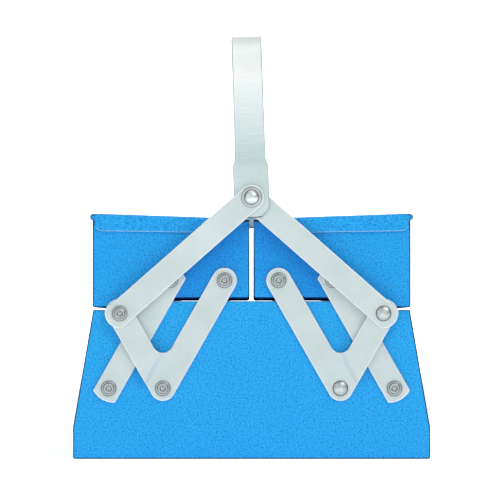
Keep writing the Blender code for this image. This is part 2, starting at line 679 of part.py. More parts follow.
def build():
    base_pan()
    handle()
    for end_name, end in ENDS:
        base_end(end_name, end)
        handle_rivet(end_name, end)
    for side_name, side in SIDES:
        tray_pan(side_name, side)
        lid(side_name, side)
        hinge_pin(side_name, side)
        for place_name, y in (("front", -DIVIDER_Y), ("rear", DIVIDER_Y)):
            tray_divider(side_name, side, place_name, y)
        for end_name, end in ENDS:
            tray_end(side_name, side, end_name, end)
            link(side_name, side, end_name, end)
            crank(side_name, side, end_name, end)
            arm(side_name, side, end_name, end)
            side_rivets(side_name, side, end_name, end)


build()
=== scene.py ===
"""Looks of the sheet-steel cantilever box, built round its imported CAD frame.

Straps, rivets, panels, pans, lids, hinge pins and the handle are rebuilt here with rolled
edges, fine arcs and real folds.  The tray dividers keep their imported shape.  Places come from
the frame: pivots from the joints, layers and faces from the nodes' boxes.

side is +1 on the right and -1 on the left; end is -1 at the front and +1 at the rear; "out"
is the distance outward from the end panel's outer face.
"""
import json
from math import asin, cos, pi, radians, sin

import bmesh
import bpy
from mathutils import Matrix, Vector


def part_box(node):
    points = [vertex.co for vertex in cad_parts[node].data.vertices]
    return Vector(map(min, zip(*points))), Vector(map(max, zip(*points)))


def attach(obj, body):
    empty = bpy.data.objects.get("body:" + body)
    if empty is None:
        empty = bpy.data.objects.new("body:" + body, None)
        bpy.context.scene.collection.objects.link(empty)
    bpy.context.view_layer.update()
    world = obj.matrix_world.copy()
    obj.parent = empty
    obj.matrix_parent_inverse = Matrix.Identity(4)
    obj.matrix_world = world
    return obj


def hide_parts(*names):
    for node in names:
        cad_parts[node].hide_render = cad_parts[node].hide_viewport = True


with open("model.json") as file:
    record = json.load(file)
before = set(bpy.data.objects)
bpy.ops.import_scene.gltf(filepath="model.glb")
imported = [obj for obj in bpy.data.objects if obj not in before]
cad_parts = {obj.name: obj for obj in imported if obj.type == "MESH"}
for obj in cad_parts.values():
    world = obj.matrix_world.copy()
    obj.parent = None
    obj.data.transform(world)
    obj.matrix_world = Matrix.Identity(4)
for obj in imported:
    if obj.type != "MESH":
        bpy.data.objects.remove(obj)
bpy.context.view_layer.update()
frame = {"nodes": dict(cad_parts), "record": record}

MM = 0.001
GAP = 0.3 * MM                      # kept between pieces that touch
SIDES = (("right", 1), ("left", -1))
ENDS = (("front", -1), ("rear", 1))

# ---------------------------------------------------------------- places read from the frame

JOINTS = {
    joint["name"]: Vector(joint["pos_m"])
    for joint in frame["record"]["behaviour"]["joints"]
    if "pos_m" in joint
}
CRANK_PIVOT = JOINTS["crank_right_swing"]
LINK_PIVOT = JOINTS["link_right_swing"]
TRAY_PIVOT = JOINTS["tray_right_level"]
ARM_PIVOT = JOINTS["arm_right_fold"]
HANDLE_PIVOT = JOINTS["handle_swing"]
HINGE = JOINTS["lid_right_open"]
LINK_TOP = LINK_PIVOT + TRAY_PIVOT - CRANK_PIVOT
HALF_LENGTH = -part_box("base_end_front")[0].y


def layer(node):
    """Nearest and farthest distance out from the front end panel of a front node."""
    low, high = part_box(node)
    return -high.y - HALF_LENGTH, -low.y - HALF_LENGTH


LEG_LAYER, LEG_FACE = layer("link_right_front")
STRAP = LEG_FACE - LEG_LAYER
SHORT_LEG_LAYER = layer("crank_right_front")[1] - STRAP
ARM_LAYER = layer("arm_right_front")[0]
ARM_TOP_LAYER = layer("arm_left_front")[1] - STRAP
LUG_LAYER = layer("handle")[1] - STRAP

BASE_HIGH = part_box("base_end_front")[1]
PAN_LOW, PAN_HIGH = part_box("base_pan")
TRAY_LOW, TRAY_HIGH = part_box("tray_right_end_front")
TRAY_PAN_LOW, TRAY_PAN_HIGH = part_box("tray_right_pan")
LID_LOW, LID_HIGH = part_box("lid_right")

# ---------------------------------------------------------------- sizes of the fine shapes

SHEET = 0.8 * MM
STRAP_HALF = 7.9 * MM
STRAP_EDGE = 0.6 * MM
ARM_END_REACH = 9.2 * MM
ARM_END_R = 10.0 * MM
LINK_END_REACH = 8.1 * MM
LINK_END_R = 15.0 * MM
CROTCH_R = 6.5 * MM
HOLE_R = 2.4 * MM
JOGGLE_START = 9.0 * MM
JOGGLE_RUN = 4.5 * MM
ARM_OFFSET_START = 20.0 * MM
ARM_OFFSET_RUN = 45.0 * MM

PANEL_EDGE = 0.76 * MM
KINK_Z = 20.0 * MM
RIM_HALF = 99.8 * MM
PANEL_STEP_X = 79.5 * MM
FOOT_FOLD_R = 1.2 * MM
HEM_R = 1.2 * MM
HEM_DEPTH = 5.0 * MM
RIM_LIP = 7.0 * MM
LIP_INSET = 3.2 * MM                # clear of the hem along the rim
LIP_EDGE = 0.3 * MM

TRAY_STEP_X = 80.6 * MM
TRAY_STEP_RUN = 0.8 * MM
TRAY_FLOOR_RISE = 5.8 * MM
TRAY_FOLD_R = 1.6 * MM
WALL_TOP_Z = 150.4 * MM
INNER_WALL_TOP_Z = 148.9 * MM

KNUCKLES = 7
KNUCKLE_GAP = 0.5 * MM
KNUCKLE_R = 1.5 * MM
END_MARGIN = 0.1 * MM               # keeps the first and last rows of a sheet apart
HINGE_PIN_R = 0.6 * MM
PIN_HEAD_R = 1.15 * MM
LID_SHEET_X = 97.9 * MM
LID_FALL = 3.4 * MM
FLANGE_INNER_X = 15.0 * MM
FLANGE_OUTER_X = 99.3 * MM
FLANGE_DEPTH = 10.3 * MM
FLANGE_INNER_DEPTH = 8.7 * MM
FLANGE_CORNER_R = 5.0 * MM
LID_FOLD_R = 1.5 * MM
LID_EDGE = 0.39 * MM

HANDLE_BEND_R = 30.0 * MM
HANDLE_LAYER = 6.1 * MM
HANDLE_TOP = 102.6 * MM
HANDLE_LEAN = radians(-1.9)
LUG_HALF = 11.2 * MM
LUG_BELOW = 12.9 * MM
LUG_CORNER_R = 9.0 * MM
LUG_ABOVE = 19.0 * MM
LUG_JOGGLE = 6.0 * MM
HANDLE_LOW_HALF = 9.65 * MM
HANDLE_TOP_HALF = 9.5 * MM

LEG = (TRAY_PIVOT - CRANK_PIVOT).normalized()
LEG_LENGTH = (TRAY_PIVOT - CRANK_PIVOT).length
SHORT_LEG = (ARM_PIVOT - CRANK_PIVOT).normalized()
SHORT_LEG_LENGTH = (ARM_PIVOT - CRANK_PIVOT).length
LEG_LEAN = asin(-LEG.x)
SHORT_LEG_LEAN = asin(SHORT_LEG.x)


# ---------------------------------------------------------------- camera, floor and lights

CAMERA_DISTANCE = 4.0
CAMERA_HEIGHT = 0.0852              # nearly level with the slits between the trays and the base
VIEW_MIDDLE = Vector((-0.001, 0.0, 0.1316))
VIEW_WIDTH = 0.315                  # width of the view at the front panel
STAGE_HALF_WIDTH = 10.0
STAGE_REACH = 9.5                   # beyond every camera, so that none looks from behind it
STAGE_BEND_R = 2.0
STAGE_TOP = 8.0
FLOOR_GLOW = 0.49                   # keeps the floor and backdrop white


def make_camera():
    data = bpy.data.cameras.new("camera")
    data.sensor_width = 36.0
    data.lens = data.sensor_width * CAMERA_DISTANCE / VIEW_WIDTH
    data.shift_y = (VIEW_MIDDLE.z - CAMERA_HEIGHT) / VIEW_WIDTH
    camera = bpy.data.objects.new("camera", data)
    camera.location = (VIEW_MIDDLE.x, -HALF_LENGTH - CAMERA_DISTANCE, CAMERA_HEIGHT)
    camera.rotation_euler = (pi / 2, 0.0, 0.0)
    bpy.context.scene.collection.objects.link(camera)
    bpy.context.scene.camera = camera


def area_light(name, place, target, size, power, colour=(1.0, 1.0, 1.0)):
    data = bpy.data.lights.new(name, "AREA")
    data.shape = "RECTANGLE"
    data.size, data.size_y = size
    data.energy = power
    data.color = colour
    light = bpy.data.objects.new(name, data)
    light.location = place
    light.rotation_euler = (Vector(target) - Vector(place)).to_track_quat("-Z", "Y").to_euler()
    bpy.context.scene.collection.objects.link(light)


def make_stage():
    """Pale floor that curves up into a backdrop behind the box."""
    shape = bmesh.new()
    bend_y = STAGE_REACH - STAGE_BEND_R
    path = [(-STAGE_REACH, 0.0), (bend_y, 0.0)]
    for i in range(1, 17):
        t = pi / 2 * i / 16
        path.append((bend_y + STAGE_BEND_R * sin(t), STAGE_BEND_R - STAGE_BEND_R * cos(t)))
    path.append((STAGE_REACH, STAGE_TOP))
    edges = (-STAGE_HALF_WIDTH, STAGE_HALF_WIDTH)
    rows = [[shape.verts.new((x, y, z)) for y, z in path] for x in edges]
    for i in range(len(path) - 1):
        shape.faces.new((rows[0][i], rows[1][i], rows[1][i + 1], rows[0][i + 1]))
    mesh = bpy.data.meshes.new("floor")
    shape.to_mesh(mesh)
    shape.free()
    mesh.shade_smooth()
    floor = bpy.data.objects.new("floor", mesh)
    bpy.context.scene.collection.objects.link(floor)
    material = bpy.data.materials.new("floor_white")
    material.use_nodes = True
    shader = material.node_tree.nodes["Principled BSDF"]
    shader.inputs["Base Color"].default_value = (0.93, 0.93, 0.93, 1.0)
    shader.inputs["Roughness"].default_value = 0.9
    shader.inputs["Emission Color"].default_value = (1.0, 1.0, 1.0, 1.0)
    shader.inputs["Emission Strength"].default_value = FLOOR_GLOW
    mesh.materials.append(material)


def make_lights():
    world = bpy.data.worlds.new("studio")
    world.use_nodes = True
    tree = world.node_tree
    direction = tree.nodes.new("ShaderNodeTexCoord")
    parts = tree.nodes.new("ShaderNodeSeparateXYZ")
    sideways = tree.nodes.new("ShaderNodeMath")
    sideways.operation = "ABSOLUTE"
    shade = tree.nodes.new("ShaderNodeMapRange")
    shade.inputs["From Min"].default_value = 0.45
    shade.inputs["From Max"].default_value = 0.85
    shade.inputs["To Min"].default_value = 0.42
    shade.inputs["To Max"].default_value = 0.06
    tree.links.new(direction.outputs["Generated"], parts.inputs["Vector"])
    tree.links.new(parts.outputs["X"], sideways.inputs[0])
    tree.links.new(sideways.outputs["Value"], shade.inputs["Value"])
    tree.links.new(shade.outputs["Result"], tree.nodes["Background"].inputs["Strength"])
    tree.nodes["Background"].inputs["Color"].default_value = (1.0, 1.0, 1.0, 1.0)
    bpy.context.scene.world = world
    area_light("key", (0.9, -1.9, 1.5), (0.0, -0.1, 0.12), (1.3, 1.0), 12.0)
    area_light("fill", (-1.3, -1.7, 0.8), (0.0, -0.1, 0.12), (1.2, 1.2), 4.5)
    area_light("top", (0.0, 0.0, 2.1), (0.0, 0.0, 0.1), (1.8, 1.8), 16.0)
    area_light("backdrop", (0.0, 6.6, 3.6), (0.0, 9.5, 1.0), (6.0, 1.5), 180.0)


# ---------------------------------------------------------------- materials

class Nodes:
    """Short hand for building one material's node tree."""

    def __init__(self, name, roughness, metallic):
        self.material = bpy.data.materials.new(name)
        self.material.use_nodes = True
        self.tree = self.material.node_tree
        self.shader = self.tree.nodes["Principled BSDF"]
        self.shader.inputs["Roughness"].default_value = roughness
        self.shader.inputs["Metallic"].default_value = metallic
        self.place = self.tree.nodes.new("ShaderNodeTexCoord").outputs["Object"]

    def link(self, out, into):
        self.tree.links.new(out, into)

    def stretched(self, scale):
        mapping = self.tree.nodes.new("ShaderNodeMapping")
        mapping.inputs["Scale"].default_value = scale
        self.link(self.place, mapping.inputs["Vector"])
        return mapping.outputs["Vector"]

    def noise(self, scale, detail=2.0, rough=0.5, vector=None):
        node = self.tree.nodes.new("ShaderNodeTexNoise")
        node.inputs["Scale"].default_value = scale
        node.inputs["Detail"].default_value = detail
        node.inputs["Roughness"].default_value = rough
        self.link(vector or self.place, node.inputs["Vector"])
        return node.outputs["Fac"]

    def cells(self, scale, smooth=0.6):
        node = self.tree.nodes.new("ShaderNodeTexVoronoi")
        node.feature = "SMOOTH_F1"
        node.inputs["Scale"].default_value = scale
        node.inputs["Smoothness"].default_value = smooth
        self.link(self.place, node.inputs["Vector"])
        return node.outputs["Distance"]

    def part(self, vector, axis):
        node = self.tree.nodes.new("ShaderNodeSeparateXYZ")
        self.link(vector, node.inputs["Vector"])
        return node.outputs[axis]

    def height(self):
        return self.part(self.place, "Z")

    def math(self, operation, *values):
        node = self.tree.nodes.new("ShaderNodeMath")
        node.operation = operation
        for value, socket in zip(values, node.inputs):
            if isinstance(value, bpy.types.NodeSocket):
                self.link(value, socket)
            else:
                socket.default_value = value
        return node.outputs["Value"]

    def arm_line(self):
        """Height at x = 0 of the line through this point parallel to the nearer closed arm."""
        slope = (HANDLE_PIVOT.z - ARM_PIVOT.z) / (ARM_PIVOT.x - HANDLE_PIVOT.x)
        sideways = self.math("ABSOLUTE", self.part(self.place, "X"))
        return self.math("MULTIPLY_ADD", sideways, slope, self.height())

    def upward(self):
        """How far the surface faces up, from 0 to 1."""
        return self.part(self.tree.nodes.new("ShaderNodeTexCoord").outputs["Normal"], "Z")

    def radius(self):
        """Distance from the axis a rivet was turned about."""
        node = self.tree.nodes.new("ShaderNodeVectorMath")
        node.operation = "LENGTH"
        self.link(self.stretched((1.0, 1.0, 0.0)), node.inputs[0])
        return node.outputs["Value"]

    def ramp(self, factor, stops):
        node = self.tree.nodes.new("ShaderNodeValToRGB")
        ramp = node.color_ramp
        while len(ramp.elements) < len(stops):
            ramp.elements.new(0.5)
        for element, (at, colour) in zip(ramp.elements, stops):
            element.position = at
            element.color = (*colour, 1.0)
        self.link(factor, node.inputs["Fac"])
        return node.outputs["Color"]

    def spread(self, factor, low, high, from_low=0.3, from_high=0.7):
        node = self.tree.nodes.new("ShaderNodeMapRange")
        node.inputs["From Min"].default_value = from_low
        node.inputs["From Max"].default_value = from_high
        node.inputs["To Min"].default_value = low
        node.inputs["To Max"].default_value = high
        self.link(factor, node.inputs["Value"])
        return node.outputs["Result"]

    def mix(self, factor, first, second, blend="MIX"):
        node = self.tree.nodes.new("ShaderNodeMix")
        node.data_type = "RGBA"
        node.blend_type = blend
        for value, socket in ((factor, node.inputs[0]), (first, node.inputs[6]), (second, node.inputs[7])):
            if isinstance(value, bpy.types.NodeSocket):
                self.link(value, socket)
            else:
                socket.default_value = value
        return node.outputs[2]

    def bump(self, height, distance, strength=1.0, under=None):
        node = self.tree.nodes.new("ShaderNodeBump")
        node.inputs["Distance"].default_value = distance
        node.inputs["Strength"].default_value = strength
        self.link(height, node.inputs["Height"])
        if under:
            self.link(under, node.inputs["Normal"])
        return node.outputs["Normal"]

    def finish(self, colour=None, roughness=None, normal=None):
        for value, name in ((colour, "Base Color"), (roughness, "Roughness"), (normal, "Normal")):
            if value:
                self.link(value, self.shader.inputs[name])
        return self.material


def hammered_enamel(name, dark, middle, light, shaded=1.0):
    """Blue hammered enamel, pitted and flaked.  shaded is how dark the painted shade of the arms makes it
    below the arms.
    """
    paint = Nodes(name, 0.4, 0.0)
    fine = paint.noise(FLAKE_SCALE, 3.0, 0.62)
    flake = paint.ramp(fine, [(0.38, dark), (0.47, middle), (0.58, middle), (0.66, light)])
    patches = paint.noise(38.0, 2.0)
    broad = paint.ramp(patches, [(0.3, (0.93, 0.95, 0.97)), (0.7, (1.0, 1.0, 1.0))])
    colour = paint.mix(1.0, flake, broad, "MULTIPLY")
    if shaded < 1.0:
        # painted shade of the closed arms, darkest just below the arm line
        unshaded, shaded_tint = (1.0, 1.0, 1.0), (0.6 * shaded, shaded, 0.5 + 0.5 * shaded)
        below_arms = paint.spread(paint.arm_line(), 0.0, 1.0, 0.100, 0.170)
        painted_arm_shade = paint.ramp(below_arms, [(0.0, unshaded), (0.70, shaded_tint), (0.83, shaded_tint), (1.0, unshaded)])
        colour = paint.mix(1.0, colour, painted_arm_shade, "MULTIPLY")
    dimples = paint.bump(paint.cells(620.0), 0.00016, 0.55)
    grain = paint.bump(paint.noise(2300.0, 2.0), 0.00006, 0.5, dimples)
    paint.shader.inputs["Coat Weight"].default_value = 0.06
    paint.shader.inputs["Coat Roughness"].default_value = 0.22
    paint.shader.inputs["Specular IOR Level"].default_value = 0.2
    return paint.finish(colour, paint.spread(fine, 0.46, 0.34), grain)


def edge_enamel(name, dark, light):
    """Thick glossy paint on cut edges: painted light where an edge faces up, painted shade in deep blue
    elsewhere.
    """
    paint = Nodes(name, 0.3, 0.0)
    # painted light and shade, set by which way the edge faces
    colour = paint.ramp(paint.upward(), [(0.25, dark), (0.5, light)])
    mottle = paint.ramp(paint.noise(FLAKE_SCALE, 2.0), [(0.3, (0.8, 0.85, 0.9)), (0.6, (1.0, 1.0, 1.0))])
    paint.shader.inputs["Specular IOR Level"].default_value = 0.15
    return paint.finish(paint.mix(1.0, colour, mottle, "MULTIPLY"))


def satin_zinc(name, dark, light):
    """Silver-grey coated strip: faint clouds, rolling marks and a few fine scratches."""
    zinc = Nodes(name, 0.45, 0.2)
    clouds = zinc.noise(60.0, 3.0)
    colour = zinc.ramp(clouds, [(0.32, dark), (0.68, light)])
    scratch = zinc.noise(2600.0, 1.0, 0.4, zinc.stretched((1.0, 1.0, 0.05)))
    marks = zinc.ramp(scratch, [(0.28, (0.90, 0.92, 0.92)), (0.36, (1.0, 1.0, 1.0))])
    colour = zinc.mix(0.6, colour, zinc.mix(1.0, colour, marks, "MULTIPLY"))
    skin = zinc.bump(zinc.noise(420.0, 3.0), 0.0001, 0.3)
    grain = zinc.bump(zinc.noise(900.0, 2.0), 0.00005, 0.3, skin)
    return zinc.finish(colour, zinc.spread(clouds, 0.52, 0.42), grain)


def zinc_lit_by_height(name, heights):
    """The handle's strip, with painted light by height: painted shade at the lug and just above the joggle, a
    painted highlight on the top bend, and shallow creases across it.  heights is (height above the floor,
    colour) of that painted light, from low to high."""
    zinc = Nodes(name, 0.45, 0.2)
    low, high = heights[0][0], heights[-1][0]
    # painted light and shade by height along the handle
    along = zinc.spread(zinc.height(), 0.0, 1.0, low, high)
    colour = zinc.ramp(along, [((z - low) / (high - low), colour) for z, colour in heights])
    clouds = zinc.noise(70.0, 3.0)
    cloudy = zinc.ramp(clouds, [(0.3, (0.96, 0.97, 0.97)), (0.7, (1.0, 1.0, 1.0))])
    colour = zinc.mix(1.0, colour, cloudy, "MULTIPLY")
    creases = zinc.bump(zinc.noise(240.0, 3.0, 0.6, zinc.stretched((0.35, 1.0, 2.2))), 0.0012, 0.6)
    grain = zinc.bump(zinc.noise(900.0, 2.0), 0.00005, 0.3, creases)
    return zinc.finish(colour, zinc.spread(clouds, 0.5, 0.4), grain)


def sheared_edge_painted_light(name, colour, rough):
    """Sheared edge of a strip with fine shear marks, in the given colour: on the straps bare metal brighter
    than the faces with a painted highlight, on the handle a darker tone of painted shade.
    """
    edge = Nodes(name, rough, 0.15)
    sheared = edge.noise(1500.0, 2.0, 0.5, edge.stretched((0.2, 1.0, 0.2)))
    dull = tuple(0.88 * part for part in colour)
    face = edge.ramp(sheared, [(0.3, dull), (0.6, colour)])
    return edge.finish(face, edge.spread(sheared, rough + 0.1, rough))


def turned_steel(name, rings, rough, pitted=0.4, cloud_size=700.0):
    """Plated steel of a rivet, darker in its grooves, with painted shade round its rim and painted highlights
    on its crowns.  rings is (radius in mm, brightness).
    """
    steel = Nodes(name, rough, 0.6)
    largest = rings[-1][0]
    # painted light and shade by distance from the rivet's axis
    across = steel.spread(steel.radius(), 0.0, 1.0, 0.0, largest * MM)
    stops = [(radius / largest, (0.93 * light, light, light)) for radius, light in rings]
    clouds = steel.noise(cloud_size, 3.0)
    tarnish = steel.ramp(clouds, [(0.3, (0.72, 0.76, 0.77)), (0.65, (1.0, 1.0, 1.0))])
    colour = steel.mix(1.0, steel.ramp(across, stops), tarnish, "MULTIPLY")
    pits = steel.bump(steel.noise(1800.0, 2.0), 0.00006, pitted)
    return steel.finish(colour, steel.spread(clouds, rough + 0.1, rough - 0.06), pits)


FLAKE_SCALE = 900.0
BASE_PAINT = hammered_enamel(
    "base_enamel", (0.006, 0.220, 0.620), (0.018, 0.425, 0.920), (0.055, 0.550, 0.980))
# the tray enamel carries painted shade below the arms, down to 0.72 of its colour
TRAY_PAINT = hammered_enamel(
    "tray_enamel", (0.005, 0.205, 0.610), (0.015, 0.395, 0.910), (0.050, 0.510, 0.970), 0.72)
LID_PAINT = hammered_enamel(
    "lid_enamel", (0.005, 0.215, 0.620), (0.016, 0.400, 0.910), (0.050, 0.520, 0.970))
# panel edges: painted shade on the sides and bottom, painted light along the top edges
PANEL_EDGE_LIGHT_AND_SHADE = edge_enamel("panel_edge_painted_light_and_shade", (0.000, 0.045, 0.210), (0.200, 0.560, 0.900))
# lid edges: pale blue all round, a painted highlight along the flange rims
LID_EDGE_HIGHLIGHT = edge_enamel("lid_edge_painted_highlight", (0.300, 0.600, 0.860), (0.700, 0.900, 0.980))
STRAP_ZINC = satin_zinc("strap_zinc", (0.60, 0.70, 0.70), (0.67, 0.765, 0.77))
# strap edges: bare metal, made brighter by a painted highlight
STRAP_EDGE_ZINC_AND_HIGHLIGHT = sheared_edge_painted_light("strap_edge_zinc_and_highlight", (0.92, 0.95, 0.95), 0.3)
# handle: painted shade low down and above the joggle, painted highlight on the top bend
HANDLE_ZINC_PAINTED_LIGHT = zinc_lit_by_height("handle_zinc", (
    (0.150, (0.61, 0.74, 0.74)), (0.184, (0.61, 0.74, 0.74)), (0.192, (0.55, 0.71, 0.71)),
    (0.210, (0.70, 0.81, 0.81)), (0.232, (0.86, 0.93, 0.93)), (0.242, (0.95, 0.98, 0.97)),
    (0.256, (0.85, 0.91, 0.89)), (0.266, (0.70, 0.77, 0.76))))
# handle edges: dark grey painted shade along both sides
HANDLE_EDGE_PAINTED_SHADE = sheared_edge_painted_light("handle_edge_zinc", (0.46, 0.56, 0.57), 0.4)
# rolled rivet heads: darker grooves, painted highlights on the rings, painted shade round the rim
RING_STEEL = turned_steel("ring_rivet_steel", (
    (0.0, 0.30), (0.5, 0.55), (1.1, 0.74), (1.5, 0.16), (1.9, 0.50), (2.7, 0.72), (3.3, 0.16), (3.8, 0.50),
    (4.3, 0.66), (4.6, 0.10), (4.9, 0.06)), 0.3)
# domed rivet heads: painted highlight on the crown, painted shade round the rim
DOME_STEEL = turned_steel("dome_rivet_steel", (
    (0.0, 0.90), (1.5, 0.78), (3.4, 0.58), (4.2, 0.48), (4.5, 0.12), (4.9, 0.08)), 0.28)
# handle rivet and washer: painted highlight on the dome, painted shade round its rim and the washer's
TOP_STEEL = turned_steel("top_rivet_steel", (
    (0.0, 1.0), (2.4, 0.97), (3.8, 0.80), (4.3, 0.50), (4.6, 0.15), (5.0, 0.80), (5.7, 0.88),
    (6.1, 0.35), (6.4, 0.25)), 0.25, 0.05, 160.0)


# ---------------------------------------------------------------- modelling helpers

def make_piece(name, shape, material, body, nodes=(), smooth=35.0):
    """A bmesh becomes a piece of the visual model, riding on a body."""
    mesh = bpy.data.meshes.new(name)
    shape.to_mesh(mesh)
    shape.free()
    mesh.shade_smooth()
    mesh.set_sharp_from_angle(angle=radians(smooth))
    mesh.materials.append(material)
    piece = bpy.data.objects.new(name, mesh)
    bpy.context.scene.collection.objects.link(piece)
    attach(piece, body)
    if nodes:
        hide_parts(*nodes)
    return piece


def mark_front_edges(shape):
    """Marks the rims of a plate's outer face, at out = 0, as the edges to round."""
    mark = shape.edges.layers.float.new("bevel_weight_edge")
    for edge in shape.edges:
        on_face = all(abs(vertex.co.y) < 0.01 * MM for vertex in edge.verts)
        rim = any(abs(face.normal.y) < 0.5 for face in edge.link_faces)
        edge[mark] = 1.0 if on_face and rim else 0.0


def flatten_shading(piece):
    """Lets the large flat faces decide the normals, so that only real bends look bent."""
    normals = piece.modifiers.new("normals", "WEIGHTED_NORMAL")
    normals.keep_sharp = True


def round_edges(piece, width, segments=3, angle=50.0, edge_paint=None, marked=False):
    bevel = piece.modifiers.new("edges", "BEVEL")
    bevel.use_clamp_overlap = False
    if edge_paint:
        piece.data.materials.append(edge_paint)
        bevel.material = 1
    bevel.width = width
    bevel.segments = segments
    bevel.limit_method = "WEIGHT" if marked else "ANGLE"
    bevel.angle_limit = radians(angle)
    flatten_shading(piece)


def give_sheet(piece, thickness=SHEET, offset=-1.0, edge_paint=None):
    solid = piece.modifiers.new("sheet", "SOLIDIFY")
    if edge_paint:
        piece.data.materials.append(edge_paint)
        solid.material_offset_rim = 1
    solid.thickness = thickness
    solid.offset = offset
    solid.use_even_offset = True


def arc(centre, radius, start, stop, steps=12):
    """Points (x, z) on an arc, both ends included, angles from +X towards +Z."""
    turns = [start + (stop - start) * i / steps for i in range(steps + 1)]
    return [(centre[0] + radius * cos(t), centre[1] + radius * sin(t)) for t in turns]


def hole(pivot, radius=HOLE_R, steps=32):
    return arc((pivot.x, pivot.z), radius, 0.0, 2 * pi, steps)[:-1]


def flat_plate(loops, thickness):
    """Closed plate from its outline and holes (x, z), its near face at y = 0, growing to +y."""
    curve = bpy.data.curves.new("outline", "CURVE")
    curve.dimensions = "2D"
    curve.fill_mode = "BOTH"
    curve.extrude = thickness / 2
    for loop in loops:
        spline = curve.splines.new("POLY")
        spline.points.add(len(loop) - 1)
        for point, (x, z) in zip(spline.points, loop):
            point.co = (x, z, 0.0, 1.0)
        spline.use_cyclic_u = True
    outline = bpy.data.objects.new("outline", curve)
    bpy.context.scene.collection.objects.link(outline)
    bpy.context.view_layer.update()
    evaluated = outline.evaluated_get(bpy.context.evaluated_depsgraph_get())
    mesh = bpy.data.meshes.new_from_object(evaluated)
    shape = bmesh.new()
    shape.from_mesh(mesh)
    shape.transform(Matrix.Translation((0.0, thickness / 2, 0.0)) @ Matrix.Rotation(pi / 2, 4, "X"))
    bmesh.ops.remove_doubles(shape, verts=shape.verts, dist=0.001 * MM)
    bmesh.ops.dissolve_limit(shape, angle_limit=radians(0.2), verts=shape.verts, edges=shape.edges)
    bpy.data.meshes.remove(mesh)
    bpy.data.objects.remove(outline)
    bpy.data.curves.remove(curve)
    return shape


def mirror_into_place(shape, side, end):
    """From right-hand side and distance outward from the panel, to world places."""
    for vertex in shape.verts:
        x, out, z = vertex.co
        vertex.co = (side * x, end * (HALF_LENGTH + out), z)
    if side * end < 0:
        bmesh.ops.reverse_faces(shape, faces=shape.faces)


def smooth_step(t):
    t = min(max(t, 0.0), 1.0)
    return t * t * (3 - 2 * t)


def offset_band(shape, start, direction, run, rise, bends):
    """Moves what lies beyond start, measured along direction, outward by rise over run."""
    for i in range(bends + 1):
        cut = start + direction * (run * i / bends)
        everything = shape.verts[:] + shape.edges[:] + shape.faces[:]
        bmesh.ops.bisect_plane(shape, geom=everything, plane_co=cut, plane_no=direction)
    for vertex in shape.verts:
        along = (vertex.co - start).dot(direction)
        vertex.co.y += rise * smooth_step(along / run)


def grid(path_count, section_count, spot, keep):
    """Sheet of quads; spot(i, j) gives each corner and keep(i, j) says which quads exist."""
    shape = bmesh.new()
    corners = [[shape.verts.new(spot(i, j)) for j in range(section_count)] for i in range(path_count)]
    for i in range(path_count - 1):
        for j in range(section_count - 1):
            if keep(i, j):
                shape.faces.new((corners[i][j], corners[i][j + 1], corners[i + 1][j + 1], corners[i + 1][j]))
    stray = [vertex for vertex in shape.verts if not vertex.link_faces]
    bmesh.ops.delete(shape, geom=stray, context="VERTS")
    return shape


def turned(name, profile, end, pivot, material, body, node):
    """Turned piece about Y from (radius, distance out from the panel), outermost first."""
    mesh = bpy.data.meshes.new(name)
    mesh.from_pydata([(radius, 0.0, out) for radius, out in profile],
                     [(i, i + 1) for i in range(len(profile) - 1)], [])
    mesh.materials.append(material)
    piece = bpy.data.objects.new(name, mesh)
    bpy.context.scene.collection.objects.link(piece)
    screw = piece.modifiers.new("turn", "SCREW")
    screw.steps = 48
    screw.render_steps = 48
    screw.use_merge_vertices = True
    screw.merge_threshold = 0.001 * MM
    screw.use_smooth_shade = True
    piece.rotation_euler.x = -end * pi / 2
    piece.location = (pivot.x, end * HALF_LENGTH, pivot.z)
    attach(piece, body)
    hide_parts(node)
    return piece


# ---------------------------------------------------------------- straps

def leg_frame(pivot, direction):
    """Maps (along, across) of a strap to (x, z); across is to the right of its direction."""
    def place(points):
        right = Vector((direction.z, 0.0, -direction.x))
        spots = [pivot + direction * along + right * across for along, across in points]
        return [(spot.x, spot.z) for spot in spots]
    return place


def round_end(steps=20):
    turns = [pi * i / steps for i in range(steps + 1)]
    return [(STRAP_HALF * sin(t), STRAP_HALF * cos(t)) for t in turns]


def blunt_end(reach, radius, steps=14):
    """Arc across the strap's full width, its middle past the pivot at (0, 0) by reach."""
    half_angle = asin(STRAP_HALF / radius)
    turns = [half_angle - 2 * half_angle * i / steps for i in range(steps + 1)]
    return [(reach - radius + radius * cos(t), radius * sin(t)) for t in turns]


def at_far_end(points, length):
    return [(length + along, across) for along, across in points]


def at_near_end(points):
    return [(-along, -across) for along, across in points]


def strap_piece(kind, side_name, side, end_name, end, shape, out, body):
    bmesh.ops.translate(shape, verts=shape.verts, vec=(0.0, out, 0.0))
    mirror_into_place(shape, side, end)
    node = f"{kind}_{side_name}_{end_name}"
    piece = make_piece(f"{kind}_plate_{side_name}_{end_name}", shape, STRAP_ZINC, body, [node])
    round_edges(piece, STRAP_EDGE, edge_paint=STRAP_EDGE_ZINC_AND_HIGHLIGHT)


def link(side_name, side, end_name, end):
    tip = blunt_end(LINK_END_REACH, LINK_END_R)
    outline = leg_frame(LINK_PIVOT, LEG)(at_far_end(tip, LEG_LENGTH) + at_near_end(tip))
    shape = flat_plate([outline, hole(LINK_PIVOT), hole(LINK_TOP)], STRAP)
    strap_piece("link", side_name, side, end_name, end, shape, LEG_LAYER, f"links_{side_name}")


